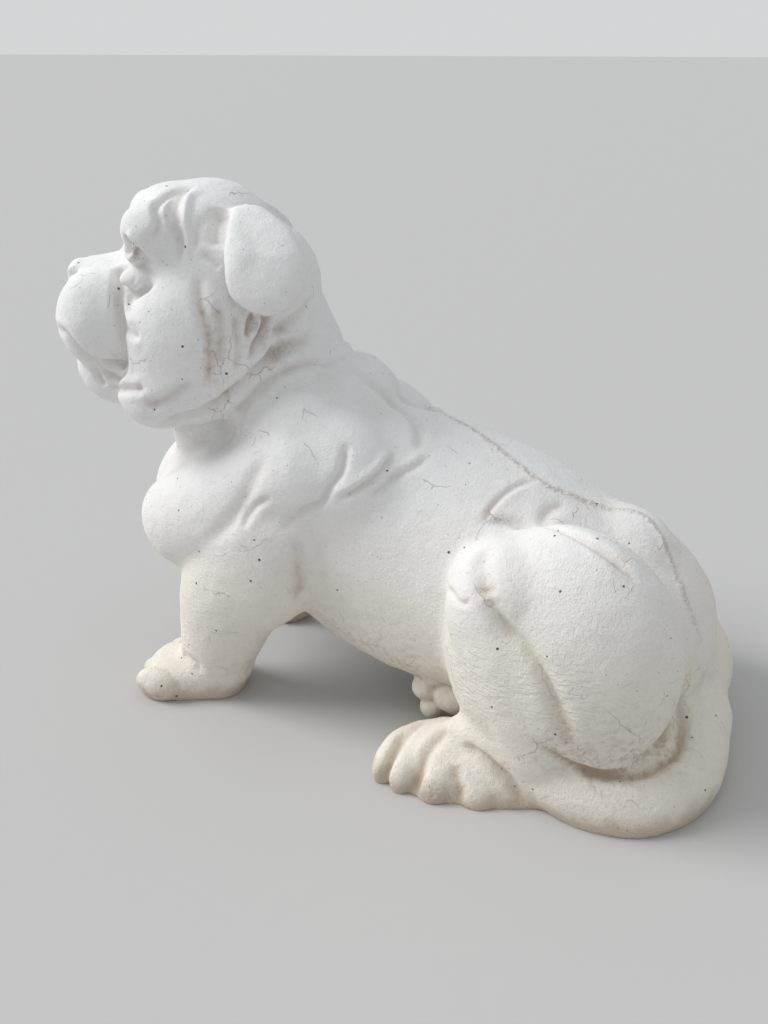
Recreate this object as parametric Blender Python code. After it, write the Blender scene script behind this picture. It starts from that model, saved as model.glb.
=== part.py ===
"""Bulldog garden statue: a sitting bulldog cast in one piece, resting on its paws, its seat and its tail.

The forms are laid out like lumps and rolls of clay, fused to one skin, relaxed where they meet, and then carved.
Frame: the dog faces -Y, its left side is +X, the ground is Z = 0 and the origin is under the middle of the dog.
Its head is turned to its left, its left hind leg is drawn up, and it sits over on its right hip.
"""

from math import cos, radians, sin

import bmesh
import bpy
import numpy as np
from mathutils import Euler

# Driving sizes: the height in metres, and how far the head is turned to the dog's left, in degrees
STATUE_HEIGHT = 0.455
HEAD_TURN = 30

# The forms are placed on a grid with this many steps from the ground to the crown of the head
GRID_STEPS = 455
STEP = STATUE_HEIGHT / GRID_STEPS

# Everything below is in grid steps
NECK_AXIS = -110
PLAN_MIDDLE = (5.5, 10.0)
CHEST_ROUNDING = 0.8
FOOT_ROUNDING = 0.9
CLAY_GRAIN = 4.0
CLAY_ROUNDS = 8
DETAIL_GRAIN = 3.0
DETAIL_ROUNDS = 2
UNDERSIDE = -6.0
SKIN_TRIANGLES = 9300
TOES = 4
STROKE_STEPS = 36

CONCRETE_COLOUR = (0.78, 0.76, 0.71, 1.0)
CONCRETE_ROUGHNESS = 0.9


def lump(centre, radii, turn=(0, 0, 0), rows=24, columns=36):
    """A closed egg: rings of a sphere, stretched by the three radii, turned by three angles in degrees, and moved."""
    around = np.linspace(0, 2 * np.pi, columns, endpoint=False)
    down = np.linspace(0, np.pi, rows + 1)[1:-1]
    ring = np.stack([np.outer(np.sin(down), np.cos(around)), np.outer(np.sin(down), np.sin(around))], -1)
    height = np.broadcast_to(np.cos(down)[:, None], ring.shape[:2])
    grid = np.concatenate([ring, height[..., None]], -1).reshape(-1, 3)
    points = np.vstack([grid, [[0, 0, 1], [0, 0, -1]]]) * np.array(radii, float)
    matrix = np.array(Euler(np.radians(turn)).to_matrix())
    return points @ matrix.T + np.array(centre, float), tube_faces(rows - 1, columns, flip=True)


def tube_faces(rings, columns, flip=False):
    """Quads between rings of points, and a fan of triangles to the pole at each end, the last two points."""
    first, last = rings * columns, rings * columns + 1
    faces = []
    for k in range(columns):
        n = (k + 1) % columns
        for r in range(rings - 1):
            faces.append((r * columns + k, r * columns + n, (r + 1) * columns + n, (r + 1) * columns + k))
        faces.append((first, n, k))
        faces.append((last, (rings - 1) * columns + k, (rings - 1) * columns + n))
    if flip:
        faces = [tuple(reversed(f)) for f in faces]
    return faces


def smooth_path(stations, count):
    """Count rows read from a Catmull-Rom curve through the stations."""
    s = np.array(stations, float)
    s = np.vstack([2 * s[0] - s[1], s, 2 * s[-1] - s[-2]])
    t = np.linspace(0, len(s) - 3, count)
    i = np.minimum(t.astype(int), len(s) - 4)
    u = (t - i)[:, None]
    a, b, c, d = s[i], s[i + 1], s[i + 2], s[i + 3]
    return 0.5 * (2 * b + (c - a) * u + (2 * a - 5 * b + 4 * c - d) * u**2 + (3 * b - a - 3 * c + d) * u**3)


def roll(stations, side=(1, 0, 0), rings=28, columns=28, cap=1.0):
    """A closed roll: an ellipse carried along a smooth path, with rounded ends.

    A station is x, y, z, half width along the side direction, and half depth across it."""
    path = smooth_path(stations, rings)
    centre, width, depth = path[:, :3], path[:, 3], path[:, 4]
    tangent = np.gradient(centre, axis=0)
    tangent /= np.linalg.norm(tangent, axis=1, keepdims=True)
    steps = np.radians([22.5, 45.0, 67.5, 84.0])
    rounds = []
    for end, sign in ((0, -1), (-1, 1)):
        reach = cap * min(width[end], depth[end])
        rows = [(centre[end] + sign * tangent[end] * reach * np.sin(a), np.cos(a)) for a in steps]
        rounds.append((rows if sign > 0 else rows[::-1], centre[end] + sign * tangent[end] * reach))
    start, finish = rounds[0][0], rounds[1][0]
    centre = np.vstack([[c for c, _ in start], centre, [c for c, _ in finish]])
    tangent = np.vstack([tangent[:1]] * len(start) + [tangent] + [tangent[-1:]] * len(finish))
    width = np.concatenate([[k * width[0] for _, k in start], width, [k * width[-1] for _, k in finish]])
    depth = np.concatenate([[k * depth[0] for _, k in start], depth, [k * depth[-1] for _, k in finish]])
    across = np.array(side, float) - (tangent @ np.array(side, float))[:, None] * tangent
    across /= np.linalg.norm(across, axis=1, keepdims=True)
    over = np.cross(tangent, across)
    around = np.linspace(0, 2 * np.pi, columns, endpoint=False)
    points = (centre[:, None] + across[:, None] * (width[:, None] * np.cos(around))[..., None]
              + over[:, None] * (depth[:, None] * np.sin(around))[..., None]).reshape(-1, 3)
    points = np.vstack([points, [rounds[0][1], rounds[1][1]]])
    return points, tube_faces(len(centre), columns)


def flap(outline, thickness, bulge, rings=9, steps=7):
    """A closed leaf: rings that shrink from a smooth closed outline to its middle, on a front and a back side.

    At the share u of the way out, each side stands off by thickness * sqrt(1 - u ** 4), and both by bulge * (1 - u ** 2)."""
    stations = np.array(outline, float)
    count = len(stations)
    rim = smooth_path(np.vstack([stations[-1:], stations, stations[:2]]), steps * (count + 2) + 1)[steps:steps * (count + 1)]
    middle = rim.mean(0)
    normal = np.linalg.svd(rim - middle)[2][2]
    normal = normal if normal[0] > 0 else -normal
    shares = np.linspace(0, 1, rings + 1)[1:]
    rows = []
    for side, order in ((1, shares), (-1, shares[::-1][1:])):
        for u in order:
            off = side * thickness * np.sqrt(1 - u**4) + bulge * (1 - u**2)
            rows.append(middle + (rim - middle) * u + normal * off)
    poles = middle + np.outer([thickness + bulge, bulge - thickness], normal)
    return np.vstack(rows + [poles]), tube_faces(len(rows), len(rim))


def pair(*shells, shift=(0, 0, 0)):
    """Each shell with its mirror image across the dog's middle; the image may be moved a little."""
    result = []
    for points, faces in shells:
        result.append((points, faces))
        result.append((points * np.array([-1, 1, 1]) + np.array(shift, float), [tuple(reversed(face)) for face in faces]))
    return result


def trunk():
    """Chest, barrel, rump and seat, and the neck with its dewlap."""
    barrel = roll([(0, -188, 168, 68, 60), (0, -128, 186, 90, 90), (0, -55, 180, 100, 106), (0, 20, 150, 100, 118),
                   (0, 90, 136, 104, 112), (0, 150, 122, 106, 97)], cap=CHEST_ROUNDING)
    withers = lump((0, -42, 266), (48, 40, 50))
    rump = lump((-6, 182, 96), (98, 99, 104))
    croup = lump((-2, 192, 142), (58, 60, 70))
    seat = lump((-40, 212, 52), (88, 86, 66))
    neck = roll([(0, -44, 226, 84, 62), (0, -99, 276, 75, 57), (0, -136, 341, 68, 60)])
    dewlap = lump((0, -164, 240), (60, 52, 62))
    return [barrel, withers, rump, croup, seat, neck, dewlap]


def head():
    """Skull, brows, cheeks, the short muzzle with its two flews, and the jaw."""
    skull = lump((0, -166, 371), (73, 74, 84))
    occiput = lump((0, -120, 368), (58, 46, 54))
    forehead = lump((0, -191, 405), (60, 42, 48))
    brows = pair(lump((42, -208, 422), (23, 25, 22)))
    cheeks = pair(lump((54, -178, 331), (34, 58, 66)))
    jowls = pair(lump((54, -212, 296), (30, 34, 32)))
    flews = pair(lump((28, -255, 350), (31, 37, 41)))
    mask = lump((0, -236, 345), (56, 34, 52))
    bridge = roll([(0, -230, 383, 32, 16), (0, -268, 380, 22, 14)])
    jaw = lump((0, -240, 307), (43, 44, 38))
    return turned([skull, occiput, forehead, mask, bridge, jaw] + brows + cheeks + jowls + flews)


def shoulders():
    """Shoulder blades and upper arms, the same on both sides."""
    blade = lump((58, -46, 216), (48, 74, 70))
    arm = roll([(80, -56, 232, 36, 44), (82, -124, 196, 40, 46), (66, -176, 166, 42, 46)])
    return pair(blade, shift=(2, -4, -5)) + pair(arm)


def front_legs():
    """Forelegs that lean forward, each on a broad paw."""
    leg = roll([(84, -86, 190, 42, 58), (84, -98, 150, 40, 60), (82, -128, 106, 36, 50), (77, -147, 50, 31, 38),
                (76, -150, 30, 31, 34)])
    paw = roll([(72, -152, 14, 32, 30), (85, -196, 9, 37, 28)], cap=FOOT_ROUNDING)
    far_heel = lump((-74, -146, 12), (26, 24, 18))
    return pair(leg, paw) + [far_heel]


def near_hind_leg():
    """The left hind leg, drawn up with its knee by the flank and its foot flat."""
    thigh = lump((88, 170, 120), (64, 94, 108))
    knee = lump((102, 128, 172), (44, 46, 46))
    shin = roll([(112, 120, 165, 34, 40), (120, 142, 115, 32, 36), (118, 165, 50, 28, 30)])
    foot = roll([(106, 160, 10, 28, 36), (113, 120, 6, 34, 38), (108, 84, 8, 31, 39)], cap=FOOT_ROUNDING)
    ball = lump((114, 85, 4), (40, 54, 38))
    return [thigh, knee, shin, foot, ball]


def far_hind_leg():
    """The right hind leg, lying on its side under the belly with its sole to the left."""
    thigh = lump((-84, 170, 78), (62, 106, 84))
    shin = roll([(-110, 70, 40, 40, 40), (-50, 58, 34, 34, 34), (22, 60, 26, 34, 36)], side=(0, 1, 0))
    return [thigh, shin]


def tail():
    """The tail, wrapped round the left haunch with its tip on the foot."""
    return [roll([(6, 257, 28, 48, 48), (60, 263, 17, 39, 40), (99, 242, 13, 35, 37), (112, 205, 18, 34, 34),
                  (112, 165, 34, 28, 28), (116, 122, 48, 20, 20), (114, 96, 46, 12, 12)], side=(0, 0, 1))]


def face():
    """Ear flaps, nose, eyes and the bags below them."""
    ears = pair(flap([(42, -145, 438), (62, -152, 421), (75, -154, 399), (82, -151, 378), (90, -135, 365),
                      (94, -116, 364), (91, -99, 378), (82, -90, 398), (65, -98, 419), (44, -122, 438)], 8, 6),
                shift=(4, 0, -6))
    nose = lump((0, -270, 381), (19, 12, 13))
    eyes = pair(lump((46, -221, 408), (12, 9, 12)))
    bags = pair(lump((48, -221, 386), (11, 14, 9)))
    return turned([nose] + ears + eyes + bags)


def row_of_toes(middle, spacing, row_turn, toe_turn, radii):
    """Toes side by side on a row, the middle ones a little ahead; the row and each toe are turned by degrees."""
    angle = radians(row_turn)
    toes = []
    for k in range(TOES):
        off = k - (TOES - 1) / 2
        along, back = off * spacing, 2 * off**2
        place = (middle[0] + along * cos(angle) - back * sin(angle), middle[1] + along * sin(angle) + back * cos(angle))
        toes.append(lump(place + (middle[2],), radii, (0, 0, toe_turn)))
    return toes


def feet():
    """The toes of the three feet that stand flat, and the toe pads on the sole of the one that lies over."""
    front = row_of_toes((86, -200, 14), 19, 0, 0, (11, 22, 17))
    hind = row_of_toes((127, 86, 9), 24, 90, 74, (15, 34, 24))
    pads = [lump((57, y, z), (13, r, r)) for y, z, r in ((56, 58, 14), (48, 39, 12), (55, 20, 11))]
    sole = lump((58, 77, 35), (15, 21, 16))
    return pair(*front) + hind + pads + [sole]


# Strokes: depth, width, and places on the grid; a depth below nothing raises a fold.
# These are on both sides of the head and are turned with it.
HEAD_STROKES = (
    (5, 5, ((33, -198, 446), (54, -201, 437), (62, -203, 420), (61, -212, 411))),
    (-3, 6, ((33, -186, 446), (52, -188, 432), (63, -187, 404))),
    (7, 6, ((30, -240, 388), (48, -238, 370), (58, -235, 345), (59, -236, 322))),
    (6, 5, ((14, -291, 336), (46, -284, 342), (54, -271, 330), (50, -252, 314), (56, -238, 320), (60, -235, 334))),
    (5, 8, ((66, -185, 396), (71, -171, 388), (84, -171, 360), (87, -170, 338), (86, -176, 310))),
    (5, 7, ((79, -146, 367), (82, -145, 346), (84, -149, 322))),
    (4, 5, ((63, -120, 358), (70, -128, 348), (80, -138, 328))),
    (4, 6, ((30, -83, 370), (45, -99, 353), (58, -117, 340))),
    (7, 8, ((58, -232, 268), (76, -212, 276), (80, -175, 290), (79, -147, 304), (60, -118, 327), (28, -80, 337))),
    (6, 7, ((42, -154, 438), (55, -158, 425), (62, -161, 410))),
    (5, 4, ((9, -280, 381), (15, -276, 385), (19, -268, 384))),
    (3, 4, ((0, -287, 366), (0, -292, 350), (0, -289, 332))),
)

# These are on both sides of the body.
BODY_STROKES = (
    (5, 8, ((78, -11, 269), (94, -14, 247), (107, -34, 224), (114, -54, 202))),
    (5, 8, ((95, -61, 266), (112, -75, 244), (120, -91, 217), (121, -120, 182))),
    (5, 7, ((19, -22, 294), (16, 12, 273), (36, 31, 259), (48, 31, 251))),
    (4, 6, ((60, 17, 256), (82, 10, 244), (99, -12, 228))),
    (4, 6, ((52, 44, 257), (79, 19, 238), (97, -5, 226))),
    (6, 8, ((110, -40, 182), (110, -46, 155), (110, -57, 128))),
)

# These are on the left side alone, round the drawn-up leg and the tail.
HAUNCH_STROKES = (
    (6, 6, ((76, 99, 216), (68, 126, 220), (88, 166, 227), (103, 207, 215))),
    (8, 9, ((128, 112, 205), (142, 127, 182), (148, 156, 154), (151, 184, 108), (145, 193, 76))),
    (6, 6, ((52, 264, 80), (61, 267, 55), (93, 259, 45), (115, 240, 44), (129, 215, 47), (137, 196, 54), (147, 172, 76))),
    (5, 5, ((134, 114, 46), (139, 143, 30), (135, 162, 6))),
    (4, 5, ((107, 62, 36), (128, 55, 30), (144, 50, 20), (150, 46, 6))),
    (4, 5, ((114, 94, 38), (132, 82, 31), (150, 76, 16), (156, 73, 2))),
    (4, 9, ((0, 285, 62), (0, 283, 110), (0, 268, 155), (0, 236, 190), (0, 190, 208))),
)


def turned(shells):
    """The head's shells turned together on the neck."""
    return [(turn_head(points), faces) for points, faces in shells]


def turn_head(points):
    """Places turned about an upright axis through the neck, towards the dog's left."""
    angle = radians(HEAD_TURN)
    x, y = points[:, 0], points[:, 1] - NECK_AXIS
    across = cos(angle) * x - sin(angle) * y
    along = sin(angle) * x + cos(angle) * y + NECK_AXIS
    return np.stack([across, along, points[:, 2]], 1)


def fuse(shells, grain):
    """One skin over all the shells, made by a voxel remesh."""
    points = []
    faces = []
    count = 0
    for shell_points, shell_faces in shells:
        points.append(shell_points)
        faces += [tuple(i + count for i in face) for face in shell_faces]
        count += len(shell_points)
    mesh = bpy.data.meshes.new("clay")
    mesh.from_pydata(np.vstack(points).tolist(), [], faces)
    clay = bpy.data.objects.new("clay", mesh)
    bpy.context.scene.collection.objects.link(clay)
    remesh = clay.modifiers.new("fuse", "REMESH")
    remesh.mode = "VOXEL"
    remesh.voxel_size = grain
    skin = bpy.data.meshes.new_from_object(clay.evaluated_get(bpy.context.evaluated_depsgraph_get()))
    bpy.data.objects.remove(clay)
    bpy.data.meshes.remove(mesh)
    return skin


def arrays(mesh):
    """The mesh's points and edges as arrays."""
    points = np.empty(len(mesh.vertices) * 3, np.float32)
    mesh.vertices.foreach_get("co", points)
    edges = np.empty(len(mesh.edges) * 2, np.int32)
    mesh.edges.foreach_get("vertices", edges)
    return points.reshape(-1, 3).astype(float), edges.reshape(-1, 2)


def put_back(mesh, points):
    """Writes the points into the mesh."""
    mesh.vertices.foreach_set("co", points.astype(np.float32).ravel())
    mesh.update()


def relax(mesh, rounds, share=0.5):
    """Moves each point part of the way to the middle of its neighbours, some rounds over."""
    points, edges = arrays(mesh)
    a, b = edges[:, 0], edges[:, 1]
    size = len(points)
    degree = np.bincount(a, minlength=size) + np.bincount(b, minlength=size)
    for _ in range(rounds):
        for axis in range(3):
            line = points[:, axis]
            total = np.bincount(a, line[b], size) + np.bincount(b, line[a], size)
            points[:, axis] = line + share * (total / degree - line)
    put_back(mesh, points)


def all_strokes():
    """Every stroke as depth, width and an array of places, with the mirrored ones."""
    mirror = np.array([-1, 1, 1])
    strokes = []
    for depth, width, places in HEAD_STROKES:
        for side in (np.ones(3), mirror):
            strokes.append((depth, width, turn_head(np.array(places, float) * side)))
    for depth, width, places in BODY_STROKES:
        for side in (np.ones(3), mirror):
            strokes.append((depth, width, np.array(places, float) * side))
    for depth, width, places in HAUNCH_STROKES:
        strokes.append((depth, width, np.array(places, float)))
    return strokes


def carve(mesh, strokes):
    """Sinks the skin along each stroke by depth * exp(-(distance / width) ** 2), fading out at the stroke's ends."""
    points, _ = arrays(mesh)
    normals = np.empty(len(points) * 3, np.float32)
    mesh.vertex_normals.foreach_get("vector", normals)
    normals = normals.reshape(-1, 3)
    sunk = np.zeros(len(points))
    for depth, width, places in strokes:
        snapped = [points[np.argmin(((points - place) ** 2).sum(1))] for place in places]
        path = smooth_path(snapped, STROKE_STEPS)
        low, high = path.min(0) - 3 * width, path.max(0) + 3 * width
        close = np.flatnonzero(((points > low) & (points < high)).all(1))
        apart = ((points[close, None] - path[None]) ** 2).sum(2)
        nearest = apart.argmin(1)
        along = nearest / (STROKE_STEPS - 1)
        fade = np.clip(5 * np.minimum(along, 1 - along) + 0.1, 0, 1)
        sunk[close] += depth * fade * np.exp(-apart[np.arange(len(close)), nearest] / width**2)
    put_back(mesh, points - normals * sunk[:, None])


def thin_out(mesh, triangles):
    """The mesh with fewer triangles, more of them left where it bends."""
    count = sum(len(face.vertices) - 2 for face in mesh.polygons)
    holder = bpy.data.objects.new("thinning", mesh)
    bpy.context.scene.collection.objects.link(holder)
    step = holder.modifiers.new("thin", "DECIMATE")
    step.ratio = triangles / count
    step.use_collapse_triangulate = True
    thin = bpy.data.meshes.new_from_object(holder.evaluated_get(bpy.context.evaluated_depsgraph_get()))
    bpy.data.objects.remove(holder)
    return thin


def stand_flat(mesh):
    """Cuts the mesh off level at the ground, so that each foot, the seat and the tail have a flat underside."""
    work = bmesh.new()
    work.from_mesh(mesh)
    everything = work.verts[:] + work.edges[:] + work.faces[:]
    cut = bmesh.ops.bisect_plane(work, geom=everything, plane_co=(0, 0, 0), plane_no=(0, 0, -1), clear_outer=True)
    rim = [piece for piece in cut["geom_cut"] if isinstance(piece, bmesh.types.BMEdge)]
    bmesh.ops.holes_fill(work, edges=rim)
    bmesh.ops.recalc_face_normals(work, faces=work.faces[:])
    work.to_mesh(mesh)
    work.free()


def concrete():
    """Cast concrete, off-white and matt."""
    material = bpy.data.materials.new("cast_concrete")
    material.use_nodes = True
    shader = material.node_tree.nodes["Principled BSDF"]
    shader.inputs["Base Color"].default_value = CONCRETE_COLOUR
    shader.inputs["Roughness"].default_value = CONCRETE_ROUGHNESS
    shader.inputs["Metallic"].default_value = 0.0
    return material


def main():
    for old in list(bpy.data.objects):
        bpy.data.objects.remove(old)
    clay = fuse(trunk() + head() + shoulders() + front_legs() + near_hind_leg() + far_hind_leg() + tail(), CLAY_GRAIN)
    relax(clay, CLAY_ROUNDS)
    points, _ = arrays(clay)
    faces = [tuple(face.vertices) for face in clay.polygons]
    skin = fuse([(points, faces)] + face() + feet(), DETAIL_GRAIN)
    relax(skin, DETAIL_ROUNDS)
    carve(skin, all_strokes())
    points, _ = arrays(skin)
    points[:, 2] = np.maximum(points[:, 2], UNDERSIDE)
    put_back(skin, points)
    skin = thin_out(skin, SKIN_TRIANGLES)
    stand_flat(skin)
    points, _ = arrays(skin)
    points[:, :2] -= PLAN_MIDDLE
    put_back(skin, points * STEP)
    skin.name = "bulldog_statue"
    skin.materials.append(concrete())
    statue = bpy.data.objects.new("bulldog_statue", skin)
    bpy.context.scene.collection.objects.link(statue)


main()
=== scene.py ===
"""Looks of the bulldog garden statue: its fine cast skin, the finish of the concrete, and the studio round it.

The skin is laid out in the lumps and rolls of the solid, with fuller shoulders and its own hind toes, on a grid
of 455 steps from the ground to the crown. It is fused, relaxed, given its ears, eyes and toes, and then carved.
"""

from math import cos, radians, sin

import bmesh
import bpy
import numpy as np
from mathutils import Euler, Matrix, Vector, noise


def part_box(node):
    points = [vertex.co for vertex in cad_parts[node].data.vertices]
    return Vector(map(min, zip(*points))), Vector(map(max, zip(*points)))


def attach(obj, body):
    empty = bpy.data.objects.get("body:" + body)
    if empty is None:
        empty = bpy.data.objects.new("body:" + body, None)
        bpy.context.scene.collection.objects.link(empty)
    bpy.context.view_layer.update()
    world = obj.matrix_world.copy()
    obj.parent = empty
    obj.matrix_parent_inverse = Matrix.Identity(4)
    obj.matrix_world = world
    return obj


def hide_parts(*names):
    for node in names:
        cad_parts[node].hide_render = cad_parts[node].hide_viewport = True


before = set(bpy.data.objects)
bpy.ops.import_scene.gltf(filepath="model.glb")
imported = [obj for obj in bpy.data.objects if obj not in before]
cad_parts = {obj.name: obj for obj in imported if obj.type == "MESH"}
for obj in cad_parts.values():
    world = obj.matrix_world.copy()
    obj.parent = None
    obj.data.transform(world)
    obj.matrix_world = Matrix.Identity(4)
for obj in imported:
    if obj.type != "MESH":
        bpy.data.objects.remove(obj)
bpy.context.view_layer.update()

SOLID_LOW, SOLID_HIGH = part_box("bulldog_statue")

bl_info = {
    "name": "Bulldog garden statue",
    "version": (1, 0, 0),
    "blender": (4, 5, 0),
    "location": "3D View > Sidebar > Statue",
    "description": "Builds the fine cast skin of a sitting bulldog in weathered white concrete",
    "category": "Object",
}

# The grid that every form is placed on: the dog faces -Y, its left side is +X, and the ground is Z = 0.
# The head turns about NECK_AXIS, a place on Y, and PLAN_MIDDLE is moved to the origin at the end.
GRID_STEPS = 455
NECK_AXIS = -110
PLAN_MIDDLE = (5.5, 10.0)
MIRROR = np.array([-1.0, 1.0, 1.0])

# How far the ends of the barrel and of the feet are rounded, as a share of their half width or half depth,
# whichever is smaller
CHEST_ROUNDING = 0.8
FOOT_ROUNDING = 0.9

# No form reaches further below the ground than this before it is cut level
UNDERSIDE = -6.0

# How many toes a front paw has, and those of the hind foot that stands flat: the middle and the radii of each,
# and how far they are turned, in degrees
TOES = 4
HIND_TOES = (((119, 48, 9), (14, 34, 24)), ((125, 66, 9), (14, 34, 25)), ((126, 93, 8), (20, 34, 24)),
             ((120, 126, 5), (22, 33, 22)))
TOE_TURN = 74

# Rows that each stroke's smooth path is read at
STROKE_ROWS = 60


def lump(centre, radii, turn=(0, 0, 0), rows=24, columns=36):
    """A closed egg: (a sin v cos u, b sin v sin u, c cos v), turned by three angles in degrees and moved.

    Here a, b and c are the radii, u goes round it and v goes down from its top."""
    around = np.linspace(0, 2 * np.pi, columns, endpoint=False)
    down = np.linspace(0, np.pi, rows + 1)[1:-1]
    ring = np.stack([np.outer(np.sin(down), np.cos(around)), np.outer(np.sin(down), np.sin(around))], -1)
    height = np.broadcast_to(np.cos(down)[:, None], ring.shape[:2])
    grid = np.concatenate([ring, height[..., None]], -1).reshape(-1, 3)
    points = np.vstack([grid, [[0, 0, 1], [0, 0, -1]]]) * np.array(radii, float)
    matrix = np.array(Euler(np.radians(turn)).to_matrix())
    return points @ matrix.T + np.array(centre, float), tube_faces(rows - 1, columns, flip=True)


def tube_faces(rings, columns, flip=False):
    """Quads between rings of points, and a fan of triangles to the pole at each end, the last two points."""
    first, last = rings * columns, rings * columns + 1
    faces = []
    for k in range(columns):
        n = (k + 1) % columns
        for r in range(rings - 1):
            faces.append((r * columns + k, r * columns + n, (r + 1) * columns + n, (r + 1) * columns + k))
        faces.append((first, n, k))
        faces.append((last, (rings - 1) * columns + k, (rings - 1) * columns + n))
    if flip:
        faces = [tuple(reversed(f)) for f in faces]
    return faces


def smooth_path(stations, count):
    """Count rows read from a Catmull-Rom curve through the stations a, b, c and d, between b and c:

    (2b + (c - a) u + (2a - 5b + 4c - d) u ** 2 + (3b - a - 3c + d) u ** 3) / 2."""
    s = np.array(stations, float)
    s = np.vstack([2 * s[0] - s[1], s, 2 * s[-1] - s[-2]])
    t = np.linspace(0, len(s) - 3, count)
    i = np.minimum(t.astype(int), len(s) - 4)
    u = (t - i)[:, None]
    a, b, c, d = s[i], s[i + 1], s[i + 2], s[i + 3]
    return 0.5 * (2 * b + (c - a) * u + (2 * a - 5 * b + 4 * c - d) * u**2 + (3 * b - a - 3 * c + d) * u**3)


def roll(stations, side=(1, 0, 0), rings=36, columns=32, cap=1.0):
    """A closed roll along a smooth path, with rounded ends: centre + width cos u * across + depth sin u * over.

    A station is x, y, z, half width along the side direction, and half depth across it."""
    path = smooth_path(stations, rings)
    centre, width, depth = path[:, :3], path[:, 3], path[:, 4]
    tangent = np.gradient(centre, axis=0)
    tangent /= np.linalg.norm(tangent, axis=1, keepdims=True)
    steps = np.radians([22.5, 45.0, 67.5, 84.0])
    rounds = []
    for end, sign in ((0, -1), (-1, 1)):
        reach = cap * min(width[end], depth[end])
        rows = [(centre[end] + sign * tangent[end] * reach * np.sin(a), np.cos(a)) for a in steps]
        rounds.append((rows if sign > 0 else rows[::-1], centre[end] + sign * tangent[end] * reach))
    start, finish = rounds[0][0], rounds[1][0]
    centre = np.vstack([[c for c, _ in start], centre, [c for c, _ in finish]])
    tangent = np.vstack([tangent[:1]] * len(start) + [tangent] + [tangent[-1:]] * len(finish))
    width = np.concatenate([[k * width[0] for _, k in start], width, [k * width[-1] for _, k in finish]])
    depth = np.concatenate([[k * depth[0] for _, k in start], depth, [k * depth[-1] for _, k in finish]])
    across = np.array(side, float) - (tangent @ np.array(side, float))[:, None] * tangent
    across /= np.linalg.norm(across, axis=1, keepdims=True)
    over = np.cross(tangent, across)
    around = np.linspace(0, 2 * np.pi, columns, endpoint=False)
    points = (centre[:, None] + across[:, None] * (width[:, None] * np.cos(around))[..., None]
              + over[:, None] * (depth[:, None] * np.sin(around))[..., None]).reshape(-1, 3)
    points = np.vstack([points, [rounds[0][1], rounds[1][1]]])
    return points, tube_faces(len(centre), columns)


def flap(outline, thickness, bulge, rings=9, steps=7):
    """A closed leaf: rings that shrink from a smooth closed outline to its middle, on a front and a back side.

    At the share u of the way out, each side stands off by thickness * sqrt(1 - u ** 4),
    and both by bulge * (1 - u ** 2)."""
    stations = np.array(outline, float)
    count = len(stations)
    closed = np.vstack([stations[-1:], stations, stations[:2]])
    rim = smooth_path(closed, steps * (count + 2) + 1)[steps:steps * (count + 1)]
    middle = rim.mean(0)
    normal = np.linalg.svd(rim - middle)[2][2]
    normal = normal if normal[0] > 0 else -normal
    shares = np.linspace(0, 1, rings + 1)[1:]
    rows = []
    for side, order in ((1, shares), (-1, shares[::-1][1:])):
        for u in order:
            off = side * thickness * np.sqrt(1 - u**4) + bulge * (1 - u**2)
            rows.append(middle + (rim - middle) * u + normal * off)
    poles = middle + np.outer([thickness + bulge, bulge - thickness], normal)
    return np.vstack(rows + [poles]), tube_faces(len(rows), len(rim))


def pair(*shells, shift=(0, 0, 0)):
    """Each shell with its mirror image across the dog's middle; the image may be moved a little."""
    result = []
    for points, faces in shells:
        result.append((points, faces))
        result.append((points * MIRROR + np.array(shift, float), [tuple(reversed(face)) for face in faces]))
    return result


def trunk():
    """Chest, barrel, rump and seat, and the neck with its dewlap."""
    barrel = roll([(0, -188, 168, 68, 60), (0, -128, 186, 90, 90), (0, -55, 180, 100, 106),
                   (0, 20, 150, 100, 118), (0, 90, 136, 104, 112), (0, 150, 122, 106, 97)], cap=CHEST_ROUNDING)
    withers = lump((0, -42, 266), (48, 40, 50))
    rump = lump((-6, 182, 96), (98, 99, 104))
    croup = lump((-2, 192, 142), (58, 60, 70))
    seat = lump((-40, 212, 52), (88, 86, 66))
    neck = roll([(0, -44, 226, 84, 62), (0, -99, 276, 75, 57), (0, -136, 341, 68, 60)])
    dewlap = lump((0, -164, 240), (60, 52, 62))
    return [barrel, withers, rump, croup, seat, neck, dewlap]


def head():
    """Skull, brows, cheeks, the short muzzle with its two flews, and the jaw."""
    skull = lump((0, -166, 371), (73, 74, 84))
    occiput = lump((0, -120, 368), (58, 46, 54))
    forehead = lump((0, -191, 405), (60, 42, 48))
    brows = pair(lump((42, -208, 422), (23, 25, 22)))
    cheeks = pair(lump((54, -178, 331), (34, 58, 66)))
    jowls = pair(lump((54, -212, 296), (30, 34, 32)))
    flews = pair(lump((28, -254.5, 350), (31, 36.8, 41)))
    mask = lump((0, -236, 345), (56, 34, 52))
    bridge = roll([(0, -230, 383, 32, 16), (0, -268, 380, 22, 14)])
    jaw = lump((0, -240, 307), (43, 44, 38))
    return turned([skull, occiput, forehead, mask, bridge, jaw] + brows + cheeks + jowls + flews)


def shoulders():
    """Shoulder blades and upper arms, the same on both sides."""
    blade = lump((58, -46, 216), (48, 74, 70))
    arm = roll([(80, -56, 232, 36, 44), (82, -124, 196, 40, 46), (66, -176, 166, 42, 46)])
    point = lump((56, -72, 248), (41, 52, 52))
    return pair(blade, shift=(2, -4, -5)) + pair(arm) + pair(point, shift=(8, 0, -24))


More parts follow.
